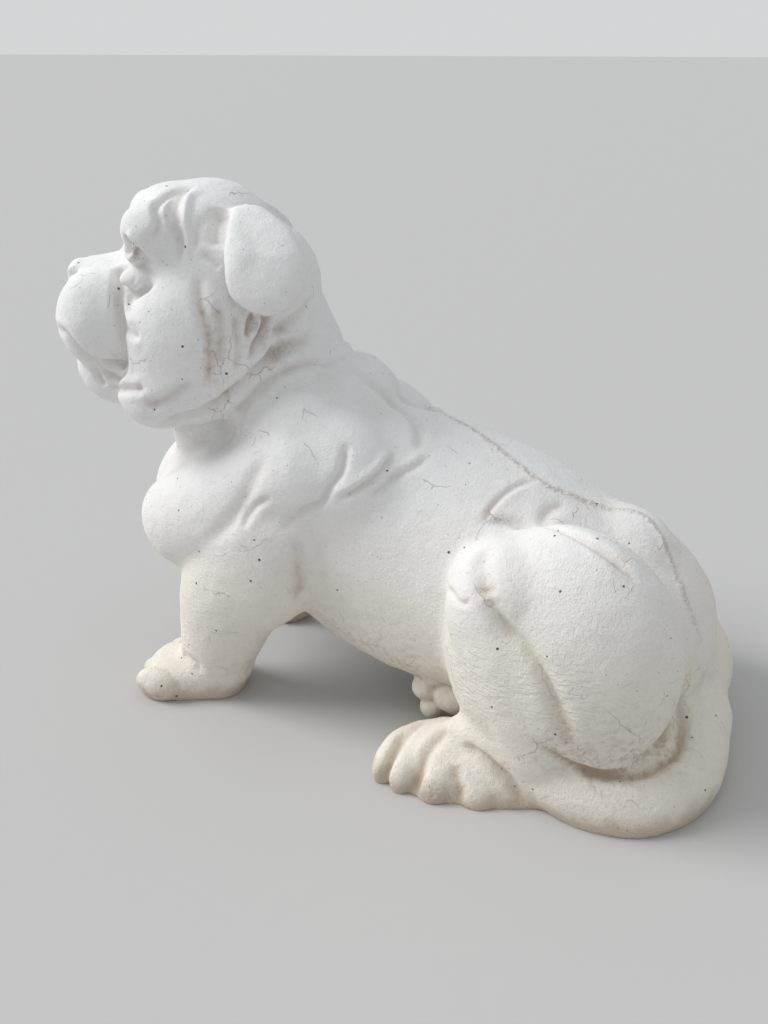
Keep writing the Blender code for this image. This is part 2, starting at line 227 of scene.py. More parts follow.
def front_legs():
    """Forelegs that lean forward, each on a broad paw."""
    leg = roll([(84, -86, 190, 42, 58), (84, -98, 150, 40, 60), (82, -128, 106, 36, 50), (77, -147, 50, 31, 38),
                (76, -150, 30, 31, 34)])
    paw = roll([(72, -152, 14, 32, 30), (85, -196, 9, 37, 28)], cap=FOOT_ROUNDING)
    far_heel = lump((-74, -146, 12), (26, 24, 18))
    return pair(leg, paw) + [far_heel]


def near_hind_leg():
    """The left hind leg, drawn up with its knee by the flank and its foot flat."""
    thigh = lump((88, 170, 120), (64, 94, 108))
    knee = lump((102, 128, 172), (44, 46, 46))
    shin = roll([(112, 120, 165, 34, 40), (120, 142, 115, 32, 36), (118, 165, 50, 28, 30)])
    foot = roll([(106, 160, 10, 28, 36), (113, 120, 6, 34, 38), (108, 84, 8, 31, 39)], cap=FOOT_ROUNDING)
    ball = lump((114, 85, 4), (40, 54, 38))
    return [thigh, knee, shin, foot, ball]


def far_hind_leg():
    """The right hind leg, lying on its side under the belly with its sole to the left."""
    thigh = lump((-84, 170, 78), (62, 106, 84))
    shin = roll([(-110, 70, 40, 40, 40), (-50, 58, 34, 34, 34), (22, 60, 26, 34, 36)], side=(0, 1, 0))
    return [thigh, shin]


def tail():
    """The tail, wrapped round the left haunch with its tip on the foot."""
    return [roll([(6, 257, 28, 48, 48), (60, 263, 17, 39, 40), (99, 242, 13, 35, 37), (112, 205, 18, 34, 34),
                  (112, 165, 34, 28, 28), (116, 122, 48, 20, 20), (114, 96, 46, 12, 12)], side=(0, 0, 1))]


def face():
    """Ear flaps, nose, eyes and the bags below them."""
    ears = pair(flap([(42, -145, 438), (62, -152, 421), (75, -154, 399), (82, -151, 378), (90, -135, 365),
                      (94, -116, 364), (91, -99, 378), (82, -90, 398), (65, -98, 419), (44, -122, 438)], 8, 6),
                shift=(4, 0, -6))
    nose = lump((0, -270, 381), (19, 12, 13))
    eyes = pair(lump((46, -221, 408), (12, 9, 12)))
    bags = pair(lump((48, -221, 386), (11, 14, 9)))
    return turned([nose] + ears + eyes + bags)


def row_of_toes(middle, spacing, row_turn, toe_turn, radii):
    """Toes side by side, the middle ones a little ahead; the row and each toe are turned by degrees."""
    angle = radians(row_turn)
    toes = []
    for k in range(TOES):
        off = k - (TOES - 1) / 2
        along, back = off * spacing, 2 * off**2
        x = middle[0] + along * cos(angle) - back * sin(angle)
        y = middle[1] + along * sin(angle) + back * cos(angle)
        toes.append(lump((x, y, middle[2]), radii, (0, 0, toe_turn)))
    return toes


def feet():
    """The toes of the three feet that stand flat, and the toe pads on the sole of the one that lies over."""
    front = row_of_toes((86, -200, 14), 19, 0, 0, (11, 22, 17))
    hind = [lump(place, radii, (0, 0, TOE_TURN)) for place, radii in HIND_TOES]
    pads = [lump((57, y, z), (13, r, r)) for y, z, r in ((56, 58, 14), (48, 39, 12), (55, 20, 11))]
    sole = lump((58, 77, 35), (15, 21, 16))
    return pair(*front) + hind + pads + [sole]


# Strokes: depth, width, the share of the depth that the left and the right bank stand up, and places on the
# grid. A depth below nothing raises a fold. Left and right are as seen from outside by someone who walks along
# the stroke. These are on both sides of the head and are turned with it.
HEAD_STROKES = (
    # the brow, the two folds behind it, the temple, and the hollow before the ear
    (3.5, 3.2, 0.2, 0.3, ((21, -177, 449), (29, -192, 445), (37, -198, 443), (53, -201, 439), (60, -200, 431),
                          (62, -202, 424), (66, -212, 414))),
    (2.5, 3.0, 0.4, 0.3, ((23, -182, 447), (37, -190, 441), (52, -193, 435), (57, -192, 428), (59, -191, 419))),
    (4, 3.2, 0.8, 0.0, ((20, -175, 450), (32, -183, 443), (46, -187, 436), (55, -188, 426), (58, -186, 417),
                        (63, -187, 400))),
    (2.5, 5.0, 0.2, 0.0, ((46, -165, 435), (53, -170, 427), (57, -173, 421), (62, -175, 408))),
    (7, 7.0, 0.0, 0.0, ((42, -154, 438), (55, -158, 425), (62, -161, 410))),
    (2, 3.0, 0.0, 0.0, ((64, -172, 408), (68, -162, 401), (69, -157, 396))),
    # eye hollows, lids, and the edge below the bag
    (7.5, 3.3, 0.0, 0.0, ((55, -226, 420), (55, -228, 412), (55, -228, 403))),
    (7, 3.2, 0.0, 0.0, ((62, -219, 410), (63, -218, 405), (64, -215, 400))),
    (-3, 3.0, 0.0, 0.0, ((56, -225, 423), (61, -220, 418), (66, -214, 409), (66, -210, 399))),
    (-2, 3.0, 0.0, 0.0, ((54, -229, 400), (60, -223, 397), (64, -213, 395))),
    (4, 3.2, 0.5, 0.0, ((55, -230, 384), (52, -229, 377), (53, -223, 375), (58, -216, 379), (62, -207, 386))),
    # muzzle and cheek
    (5, 4.0, 0.1, 0.3, ((40, -234, 396), (34, -236, 388), (40, -237, 381), (49, -238, 370), (54, -238, 361),
                        (58, -237, 345), (57, -237, 326))),
    (-3, 3.5, 0.0, 0.0, ((47, -232, 376), (52, -231, 366), (60, -229, 360), (72, -222, 355))),
    (3, 3.2, 0.0, 0.3, ((58, -234, 351), (69, -227, 347), (75, -222, 347))),
    (5, 3.8, 0.5, 0.1, ((30, -290, 346), (48, -283, 345), (52, -275, 334), (53, -267, 325), (53, -259, 320),
                        (52, -249, 317), (54, -240, 320), (58, -236, 332))),
    (4, 3.4, 0.3, 0.2, ((53, -271, 325), (50, -263, 316), (46, -256, 308), (48, -247, 305), (60, -239, 312),
                        (61, -237, 324))),
    (4, 3.4, 0.3, 0.2, ((47, -268, 314), (40, -264, 304), (38, -257, 296))),
    (4, 3.5, 0.3, 0.2, ((38, -256, 294), (50, -248, 298), (69, -239, 303), (78, -228, 306), (80, -222, 309))),
    (4, 4.0, 0.2, 0.3, ((81, -223, 292), (83, -212, 296), (82, -202, 300), (84, -193, 306), (86, -184, 312))),
    (3, 4.5, 0.3, 0.1, ((70, -173, 391), (76, -175, 381), (82, -173, 365), (87, -169, 346), (87, -170, 326),
                        (86, -174, 310))),
    (1.5, 6.0, 0.2, 0.0, ((78, -163, 373), (82, -160, 359), (86, -160, 340), (86, -165, 319))),
    (2.8, 3.4, 0.3, 0.0, ((79, -147, 366), (81, -147, 350), (82, -147, 334), (82, -150, 317))),
    # folds below the ear and on the neck
    (4, 3.0, 0.3, 0.2, ((69, -133, 361), (74, -137, 354), (79, -140, 344))),
    (5, 3.4, 0.4, 0.2, ((66, -122, 362), (64, -122, 352), (70, -129, 344), (75, -134, 337), (79, -139, 324))),
    (4, 4.5, 0.4, 0.2, ((32, -85, 368), (43, -95, 355), (51, -107, 348), (57, -118, 340))),
    (4, 4.5, 0.3, 0.3, ((36, -86, 335), (47, -96, 331), (54, -107, 331), (63, -122, 328), (79, -142, 315))),
    (6, 4.8, 0.0, 0.3, ((54, -105, 329), (60, -116, 325), (70, -129, 318), (80, -150, 303), (80, -167, 291),
                        (77, -187, 281), (76, -205, 277), (66, -224, 270))),
    # nostril and the middle of the lip
    (5, 3.0, 0.2, 0.2, ((8, -280, 380), (14, -277, 384), (18, -269, 386))),
    (3, 3.0, 0.0, 0.0, ((0, -287, 366), (0, -292, 350), (0, -289, 332))),
)

# These are on both sides of the body.
BODY_STROKES = (
    # the neck's edge above the shoulder, and the shoulder blade
    (3.5, 3.4, 0.0, 0.3, ((88, -118, 262), (80, -106, 282), (66, -90, 302), (52, -77, 312), (34, -64, 314),
                          (22, -54, 309))),
    (4, 4.5, 0.0, 0.3, ((25, -33, 306), (19, -16, 296), (10, -3, 281), (12, 12, 272), (23, 25, 266),
                        (36, 31, 260), (46, 31, 255))),
    # the skin folds behind the blade and the rear edge of the triceps
    (3.5, 2.8, 0.0, 0.5, ((56, 17, 255), (70, 16, 249), (84, 9, 241), (95, -3, 233), (100, -14, 227))),
    (2.5, 3.2, 0.0, 0.5, ((44, 44, 252), (56, 36, 246), (68, 24, 240), (82, 15, 232), (90, 7, 227))),
    (5, 3.8, 0.0, 0.0, ((80, -12, 269), (88, -12, 260), (95, -13, 248), (101, -20, 236), (105, -27, 224),
                        (109, -41, 215), (117, -56, 197))),
    # grooves of the upper arm, the crease behind the leg, the neck before the shoulder
    (3.5, 7.0, 0.1, 0.0, ((104, -70, 260), (113, -80, 243), (119, -87, 222), (123, -102, 200),
                          (120, -122, 178))),
    (2.5, 3.4, 0.2, 0.2, ((116, -63, 228), (118, -76, 219), (122, -84, 207), (124, -86, 197))),
    (4.5, 6.0, 0.0, 0.0, ((112, -47, 195), (112, -45, 178), (111, -44, 160), (108, -44, 142), (107, -50, 125))),
    (4, 8.0, 0.0, 0.0, ((85, -120, 272), (80, -138, 256), (62, -167, 238), (58, -189, 215))),
    (2.5, 5.0, 0.2, 0.0, ((96, -176, 44), (101, -169, 42), (107, -156, 42), (110, -154, 30))),
)

# These are on the left side alone, round the drawn-up leg and the tail.
HAUNCH_STROKES = (
    # upper edge of the thigh, creases of the flank, valley below the hip
    (5, 4.4, 0.0, 0.15, ((76, 99, 216), (70, 116, 220), (68, 137, 220), (88, 166, 227), (97, 186, 224),
                         (103, 207, 215), (105, 222, 203))),
    (2, 2.6, 0.2, 0.3, ((78, 97, 215), (62, 104, 229), (44, 117, 240), (30, 128, 243))),
    (2.5, 5.0, 0.1, 0.3, ((66, 140, 220), (50, 146, 226), (32, 156, 228))),
    # hollow behind the knee, groove between thigh and shin, crease below the knee
    (6, 8.0, 0.0, 0.0, ((112, 108, 214), (128, 112, 206), (136, 118, 197), (140, 122, 188))),
    (6, 7.5, 0.0, 0.1, ((136, 118, 196), (142, 126, 184), (144, 139, 169), (148, 156, 154), (151, 172, 134),
                        (151, 184, 108), (145, 193, 76))),
    (3, 2.8, 0.0, 0.2, ((140, 122, 188), (144, 139, 169), (148, 156, 154), (151, 172, 134), (151, 184, 108))),
    (2, 2.4, 0.2, 0.2, ((101, 72, 170), (118, 84, 176), (126, 91, 179), (138, 103, 179), (140, 112, 184))),
    # below the buttock, along the tail and under its tip
    (6, 4.5, 0.0, 0.2, ((52, 264, 83), (50, 266, 66), (61, 267, 55), (79, 266, 49), (93, 259, 45),
                        (115, 240, 44), (129, 215, 47), (137, 196, 54), (147, 172, 76))),
    (5, 4.5, 0.0, 0.2, ((130, 106, 46), (134, 114, 44), (138, 126, 40), (139, 143, 30), (138, 153, 18),
                        (135, 162, 4))),
    # grooves between the toes of the foot that stands flat
    (3.5, 4.0, 0.2, 0.3, ((101, 66, 38), (116, 59, 35), (134, 52, 28), (144, 49, 19), (150, 46, 6))),
    (4, 4.5, 0.2, 0.3, ((108, 98, 40), (120, 88, 37), (135, 80, 30), (150, 76, 16), (156, 73, 2))),
    (2, 5.0, 0.2, 0.2, ((140, 104, 33), (149, 107, 24), (157, 110, 4))),
)

# The rough line down the middle of the back where the two halves of the mould met, how far it stands up,
# and how wide it is
SEAM = ((-20, -20, 288), (-24, 19, 266), (-6, 61, 259), (18, 108, 248), (25, 137, 236), (8, 174, 217),
        (0, 203, 200), (12, 228, 185), (28, 252, 162), (34, 266, 140), (28, 279, 99))
SEAM_LIFT = 1.3
SEAM_WIDTH = 3.0

# Broken or crumbly spots: a place on the grid, how far the spot reaches, and how deep it is
CHIPS = (((157, 98, 8), 11, 2.2), ((150, 62, 8), 8, 1.2), ((118, -208, 8), 15, 1.6), ((100, -228, 6), 12, 1.4),
         ((38, 284, 78), 18, 1.0), ((60, 272, 70), 10, 0.8), ((112, 236, 48), 16, 0.8))

# How high the skin's slight unevenness rises, and how wide its bumps are
UNEVEN = ((0.45, 11), (0.7, 34))

# Stains, partly real dirt and partly painted shade in the hollows and on the undersides: a place on the grid,
# how far the stain reaches, and its strength.
# The first are on both sides of the head and turned with it, the next are on both sides of the body,
# and the last are on the left side alone.
HEAD_STAINS_AND_SHADE = (((84, -168, 366), 13, 0.55), ((87, -166, 342), 14, 0.55), ((86, -168, 318), 14, 0.4),
               ((72, -130, 352), 15, 0.9), ((76, -112, 366), 14, 0.6), ((60, -116, 328), 18, 0.6),
               ((80, -160, 298), 16, 0.5), ((60, -240, 316), 12, 0.5), ((60, -222, 404), 8, 0.7),
               ((76, -222, 300), 14, 0.4))
BODY_STAINS_AND_SHADE = (((60, -30, 90), 45, 0.6), ((70, 40, 78), 48, 0.8), ((84, -108, 34), 30, 0.6),
               ((110, -46, 150), 20, 0.5), ((96, -190, 10), 22, 0.5))
HAUNCH_STAINS_AND_SHADE = (((122, 214, 56), 30, 1.0), ((86, 256, 60), 28, 1.0), ((142, 180, 76), 22, 0.7),
                 ((100, 208, 212), 22, 0.5), ((60, 270, 92), 26, 0.6), ((128, 224, 92), 42, 0.45),
                 ((66, 102, 222), 14, 0.5), ((138, 120, 192), 12, 0.5), ((136, 140, 34), 16, 0.6),
                 ((146, 90, 14), 24, 0.4))

# The spot at the root of the tail where the surface has worn off, and how far it reaches
BARE_SPOT = (30, 286, 84)
BARE_REACH = 17

# Rounds of relaxing that tell a hollow from its surroundings, for the painted shade in the hollows
HOLLOW_ROUNDS = 10

# Where the cement was dragged while soft, in short level wrinkles: a place and how far they reach
DRAGS = (((152, 186, 120), 34), ((150, 196, 84), 24), ((132, 112, 112), 30), ((120, -176, 62), 22))


def turned(shells):
    """The head's shells turned together on the neck."""
    return [(turn_head(points), faces) for points, faces in shells]


def turn_head(points):
    """Places turned about an upright axis through the neck, towards the dog's left."""
    angle = bpy.context.scene.statue_form.head_turn
    x, y = points[:, 0], points[:, 1] - NECK_AXIS
    sideways = cos(angle) * x - sin(angle) * y
    backward = sin(angle) * x + cos(angle) * y + NECK_AXIS
    return np.stack([sideways, backward, points[:, 2]], 1)


def fuse(shells, grain):
    """One skin over all the shells, made by a voxel remesh."""
    points = []
    faces = []
    count = 0
    for shell_points, shell_faces in shells:
        points.append(shell_points)
        faces += [tuple(i + count for i in face) for face in shell_faces]
        count += len(shell_points)
    mesh = bpy.data.meshes.new("clay")
    mesh.from_pydata(np.vstack(points).tolist(), [], faces)
    clay = bpy.data.objects.new("clay", mesh)
    bpy.context.scene.collection.objects.link(clay)
    remesh = clay.modifiers.new("fuse", "REMESH")
    remesh.mode = "VOXEL"
    remesh.voxel_size = grain
    skin = bpy.data.meshes.new_from_object(clay.evaluated_get(bpy.context.evaluated_depsgraph_get()))
    bpy.data.objects.remove(clay)
    bpy.data.meshes.remove(mesh)
    return skin


def arrays(mesh):
    """The mesh's points and edges as arrays."""
    points = np.empty(len(mesh.vertices) * 3, np.float32)
    mesh.vertices.foreach_get("co", points)
    edges = np.empty(len(mesh.edges) * 2, np.int32)
    mesh.edges.foreach_get("vertices", edges)
    return points.reshape(-1, 3).astype(float), edges.reshape(-1, 2)


def normals_of(mesh):
    """The direction that the skin faces at each point."""
    normals = np.empty(len(mesh.vertices) * 3, np.float32)
    mesh.vertex_normals.foreach_get("vector", normals)
    return normals.reshape(-1, 3).astype(float)


def put_back(mesh, points):
    """Writes the points into the mesh."""
    mesh.vertices.foreach_set("co", points.astype(np.float32).ravel())
    mesh.update()


def relaxed(points, edges, rounds, share=0.5):
    """The points after each has moved part of the way to the middle of its neighbours, some rounds over."""
    points = points.copy()
    a, b = edges[:, 0], edges[:, 1]
    size = len(points)
    degree = np.bincount(a, minlength=size) + np.bincount(b, minlength=size)
    for _ in range(rounds):
        for axis in range(3):
            line = points[:, axis]
            total = np.bincount(a, line[b], size) + np.bincount(b, line[a], size)
            points[:, axis] = line + share * (total / degree - line)
    return points


def all_strokes():
    """Every stroke as depth, width, left bank, right bank and an array of places, with the mirrored ones."""
    strokes = []
    for table, place in ((HEAD_STROKES, turn_head), (BODY_STROKES, np.array)):
        for depth, width, left, right, places in table:
            places = np.array(places, float)
            strokes.append((depth, width, left, right, place(places)))
            strokes.append((depth, width, right, left, place(places * MIRROR)))
    for depth, width, left, right, places in HAUNCH_STROKES:
        strokes.append((depth, width, left, right, np.array(places, float)))
    return strokes


def laid_paths(points, normals, strokes):
    """Each stroke with its smooth path on the skin, and the outward direction at each row of the path."""
    laid = []
    for depth, width, left, right, places in strokes:
        nearest = [np.argmin(((points - place) ** 2).sum(1)) for place in places]
        path = smooth_path(points[nearest], STROKE_ROWS)
        outward = smooth_path(normals[nearest], STROKE_ROWS)
        outward /= np.linalg.norm(outward, axis=1, keepdims=True)
        laid.append((depth, width, left, right, path, outward))
    return laid


def sunk_by(points, laid):
    """How far each point sinks: depth * (exp(-(s / w) ** 2) - bank * exp(-((s - 1.9 w) / (1.2 w)) ** 2)).

    Here s is the distance to the stroke and w its width; the left and the right bank differ, and each stroke
    fades out at its ends."""
    sunk = np.zeros(len(points))
    for depth, width, left, right, path, outward in laid:
        low, high = path.min(0) - 5 * width, path.max(0) + 5 * width
        close = np.flatnonzero(((points > low) & (points < high)).all(1))
        off = points[close, None] - path[None]
        apart = (off**2).sum(2)
        nearest = apart.argmin(1)
        rows = np.arange(len(close))
        step = np.gradient(path, axis=0)
        gap = np.linalg.norm(step, axis=1, keepdims=True)
        slip = np.clip((off[rows, nearest] * (step / gap)[nearest]).sum(1), -gap[nearest, 0], gap[nearest, 0])
        distance = np.sqrt(np.maximum(apart[rows, nearest] - slip**2, 0))
        rightward = np.cross(step, outward)[nearest]
        side = np.where((off[rows, nearest] * rightward).sum(1) > 0, 1.0, -1.0)
        bank = np.where(side > 0, right, left)
        along = nearest / (STROKE_ROWS - 1)
        fade = np.clip(5 * np.minimum(along, 1 - along) + 0.05, 0, 1)
        raised = bank * np.exp(-((distance - 1.9 * width) / (1.2 * width)) ** 2)
        sunk[close] += depth * fade * (np.exp(-(distance / width) ** 2) - raised)
    return sunk


def thin_out(mesh, triangles):
    """The mesh with fewer triangles, more of them left where it bends."""
    count = sum(len(face.vertices) - 2 for face in mesh.polygons)
    holder = bpy.data.objects.new("thinning", mesh)
    bpy.context.scene.collection.objects.link(holder)
    step = holder.modifiers.new("thin", "DECIMATE")
    step.ratio = min(1.0, triangles / count)
    step.use_collapse_triangulate = True
    thin = bpy.data.meshes.new_from_object(holder.evaluated_get(bpy.context.evaluated_depsgraph_get()))
    bpy.data.objects.remove(holder)
    return thin


def stand_flat(mesh):
    """Cuts the mesh off level at the ground, so that each foot, the seat and the tail have a flat underside."""
    work = bmesh.new()
    work.from_mesh(mesh)
    everything = work.verts[:] + work.edges[:] + work.faces[:]
    down = (0, 0, -1)
    cut = bmesh.ops.bisect_plane(work, geom=everything, plane_co=(0, 0, 0), plane_no=down, clear_outer=True)
    rim = [piece for piece in cut["geom_cut"] if isinstance(piece, bmesh.types.BMEdge)]
    bmesh.ops.holes_fill(work, edges=rim)
    bmesh.ops.recalc_face_normals(work, faces=work.faces[:])
    work.to_mesh(mesh)
    work.free()


def uneven(points, size):
    """Smooth noise between -1 and 1 at each point, with bumps about as wide as the size in grid steps."""
    return np.array([noise.noise(place) for place in (points / size).tolist()])


def weathered(points, normals):
    """The skin with its slight unevenness, the raised crumbly seam along the back, and the chips.

    A chip sinks by depth * exp(-(distance / reach) ** 2) * |noise| ** 0.5, so that it is ragged inside."""
    out = sum(rise * uneven(points, size) for rise, size in UNEVEN)
    seam = seam_share(points, normals)
    close = np.flatnonzero(seam > 0.02)
    ragged = 0.5 + 1.2 * uneven(points[close], 3.1) + 1.2 * uneven(points[close], 8.7)
    out[close] += SEAM_LIFT * seam[close] * ragged
    for place, reach, depth in CHIPS:
        apart = ((points - np.array(place, float)) ** 2).sum(1)
        near = np.flatnonzero(apart < (2.5 * reach) ** 2)
        ragged = np.sqrt(np.abs(uneven(points[near], 3.2)))
        out[near] -= depth * np.exp(-apart[near] / reach**2) * ragged
    return points + normals * out[:, None]


def seam_share(points, normals):
    """How much each point belongs to the seam, from 0 to 1."""
    return sunk_by(points, laid_paths(points, normals, [(1.0, SEAM_WIDTH, 0.0, 0.0, np.array(SEAM, float))]))


def stain_and_shade_amount(points):
    """How much dirt and painted shade lie at each point: strength * nearness, summed over the stains."""
    spots = [(np.array(place, float), reach, strength) for place, reach, strength in HAUNCH_STAINS_AND_SHADE]
    for table, put in ((HEAD_STAINS_AND_SHADE, turn_head), (BODY_STAINS_AND_SHADE, np.array)):
        for place, reach, strength in table:
            for side in (np.ones(3), MIRROR):
                spots.append((put(np.array([place], float) * side)[0], reach, strength))
    total = np.zeros(len(points))
    for place, reach, strength in spots:
        total += strength * nearness(points, place, reach)
    return total


def nearness(points, place, reach):
    """How near each point is to a place: exp(-(distance / reach) ** 2)."""
    return np.exp(-((points - np.array(place, float)) ** 2).sum(1) / reach**2)


def mark(mesh, name, values):
    """Keeps one number for each point, for the material to read."""
    layer = mesh.attributes.new(name, "FLOAT", "POINT")
    layer.data.foreach_set("value", np.clip(values, 0, 1).astype(np.float32))


def all_forms():
    """The large forms of the whole dog."""
    return trunk() + head() + shoulders() + front_legs() + near_hind_leg() + far_hind_leg() + tail()


def leave_marks(skin, laid):
    """Marks the creases, the hollows, the seam, the stains, the wrinkles and the worn spot for the material,
    which paints dirt and shade along them.
    """
    points, edges = arrays(skin)
    normals = normals_of(skin)
    grooves = [(width, path, outward) for depth, width, _, _, path, outward in laid if depth > 0]
    creases = [(1.0, 0.8 * width, 0.0, 0.0, path, outward) for width, path, outward in grooves]
    mark(skin, "crease", sunk_by(points, creases))
    # painted shade: how far each point lies sunk in a hollow, darkened there as if shade fell on it
    mark(skin, "hollow_shade", ((relaxed(points, edges, HOLLOW_ROUNDS) - points) * normals).sum(1))
    mark(skin, "seam", seam_share(points, normals))
    # real dirt and painted shade on the undersides and between the parts
    mark(skin, "stain_and_shade", stain_and_shade_amount(points))
    mark(skin, "drag", sum(nearness(points, place, reach) for place, reach in DRAGS))
    mark(skin, "bare", nearness(points, BARE_SPOT, BARE_REACH))


def shape_skin(form):
    """The whole skin in metres, with the marks that the dirt and the painted shade follow."""
    clay = fuse(all_forms(), form.clay_grain)
    points, edges = arrays(clay)
    faces = [tuple(face.vertices) for face in clay.polygons]
    soft = relaxed(points, edges, form.clay_rounds)
    skin = fuse([(soft, faces)] + face() + feet(), form.skin_grain)
    points, edges = arrays(skin)
    points = relaxed(points, edges, form.skin_rounds)
    put_back(skin, points)
    laid = laid_paths(points, normals_of(skin), all_strokes())
    points -= normals_of(skin) * sunk_by(points, laid)[:, None]
    put_back(skin, points)
    points = weathered(points, normals_of(skin))
    points[:, 2] = np.maximum(points[:, 2], UNDERSIDE)
    put_back(skin, points)
    skin = thin_out(skin, form.triangles)
    stand_flat(skin)
    leave_marks(skin, laid)
    points = arrays(skin)[0]
    points[:, :2] -= PLAN_MIDDLE
    points *= form.height / GRID_STEPS
    put_back(skin, points)
    return skin


def node(tree, kind, inputs=None, **settings):
    """Adds a shader node, gives it its settings, and sets or links its inputs."""
    made = tree.nodes.new("ShaderNode" + kind)
    for name, value in settings.items():
        setattr(made, name, value)
    for name, value in (inputs or {}).items():
        if isinstance(value, bpy.types.NodeSocket):
            tree.links.new(value, made.inputs[name])
        else:
            made.inputs[name].default_value = value
    return made


def level(tree, value, low, high, bottom=0.0, top=1.0):
    """The value spread from low..high to bottom..top, smoothly and within those ends."""
    spread = {"Value": value, "From Min": low, "From Max": high, "To Min": bottom, "To Max": top}
    return node(tree, "MapRange", spread, interpolation_type="SMOOTHSTEP").outputs["Result"]


def maths(tree, operation, first, second, third=0.0):
    """One sum or product of values."""
    return node(tree, "Math", {0: first, 1: second, 2: third}, operation=operation).outputs[0]


def clouds(tree, place, scale, detail, rough=0.5):
    """Smooth noise around a half, so many waves to the metre."""
    waves = {"Vector": place, "Scale": scale, "Detail": detail, "Roughness": rough}
    return node(tree, "TexNoise", waves).outputs["Fac"]


def blend(tree, factor, first, second):
    """One colour going over into another."""
    mix = node(tree, "Mix", {"Factor": factor, 6: first, 7: second}, data_type="RGBA", clamp_factor=True)
    return mix.outputs[2]


def air_holes(tree, place, scale, radius, share):
    """Round holes left by air bubbles: 1 inside a hole.

    Only a share of the cells has one, and no two are the same size."""
    cells = node(tree, "TexVoronoi", {"Vector": place, "Scale": scale})
    colour = node(tree, "SeparateColor", {"Color": cells.outputs["Color"]})
    chosen = maths(tree, "LESS_THAN", colour.outputs["Red"], share)
    size = maths(tree, "MULTIPLY_ADD", colour.outputs["Green"], 0.8 * radius, 0.5 * radius)
    inside = maths(tree, "SUBTRACT", 1.0, maths(tree, "DIVIDE", cells.outputs["Distance"], size))
    return maths(tree, "MULTIPLY", level(tree, inside, 0.0, 0.45), chosen)


def hair_cracks(tree, place, scale, width):
    """Thin wandering cracks: 1 in the middle of a crack."""
    stray = node(tree, "TexNoise", {"Vector": place, "Scale": 60.0, "Detail": 3.0}).outputs["Color"]
    reach = (0.016, 0.016, 0.016)
    moved = node(tree, "VectorMath", {0: stray, 1: reach, 2: place}, operation="MULTIPLY_ADD").outputs[0]
    cells = node(tree, "TexVoronoi", {"Vector": moved, "Scale": scale}, feature="DISTANCE_TO_EDGE")
    return level(tree, cells.outputs["Distance"], 0.0, width, 1.0, 0.0)


def bare_material(name, colour, roughness):
    """A material with plain values, and its shader."""
    material = bpy.data.materials.new(name)
    material.use_nodes = True
    shader = material.node_tree.nodes["Principled BSDF"]
    shader.inputs["Base Color"].default_value = colour
    shader.inputs["Roughness"].default_value = roughness
    return material, shader


class StatueForm(bpy.types.PropertyGroup):
    """Sizes of the statue and of the steps that shape its skin"""

    height: bpy.props.FloatProperty(
        name="Height", description="From the ground to the crown of the head", unit="LENGTH",
        default=round(SOLID_HIGH.z - SOLID_LOW.z, 3), min=0.1)
    head_turn: bpy.props.FloatProperty(
        name="Head turn", description="How far the head is turned to the dog's left", subtype="ANGLE",
        default=radians(30))
    clay_grain: bpy.props.FloatProperty(
        name="Clay grain", description="Grid steps between points while the large forms are fused", default=3.0)
    clay_rounds: bpy.props.IntProperty(
        name="Clay rounds", description="How often the large forms are relaxed into each other", default=14)
    skin_grain: bpy.props.FloatProperty(
        name="Skin grain", description="Grid steps between points of the fine skin", default=1.6)
    skin_rounds: bpy.props.IntProperty(
        name="Skin rounds", description="How often the fine skin is relaxed before it is carved", default=4)
    triangles: bpy.props.IntProperty(
        name="Triangles", description="Triangles that the finished skin is thinned to", default=192000)


class ConcreteFinish(bpy.types.PropertyGroup):
    """Colours and weathering of the cast concrete"""

    cool: bpy.props.FloatVectorProperty(
        name="Cool white", description="Clean cement on the head and shoulders", subtype="COLOR", size=4,
        min=0, max=1, default=(0.86, 0.855, 0.85, 1.0))
    warm: bpy.props.FloatVectorProperty(
        name="Warm cream", description="Yellowed cement on the haunch, tail and feet", subtype="COLOR", size=4,
        min=0, max=1, default=(0.86, 0.815, 0.72, 1.0))
    # Brown of the dirt, also painted as shade in the creases, hollows, stains and pores
    dirt_and_shade: bpy.props.FloatVectorProperty(
        name="Dirt", description="Brown dirt in the creases", subtype="COLOR", size=4,
        min=0, max=1, default=(0.40, 0.29, 0.18, 1.0))
    # painted shade inside the air holes
    pit_shade: bpy.props.FloatVectorProperty(
        name="Pit", description="Inside of the air holes", subtype="COLOR", size=4,
        min=0, max=1, default=(0.16, 0.13, 0.10, 1.0))
    bare: bpy.props.FloatVectorProperty(
        name="Bare cement", description="Bluish grey cement where the surface has worn off", subtype="COLOR",
        size=4, min=0, max=1, default=(0.60, 0.62, 0.65, 1.0))
    grain: bpy.props.FloatProperty(
        name="Grain", description="Height of the sandy grain, in millimetres", default=1.0)


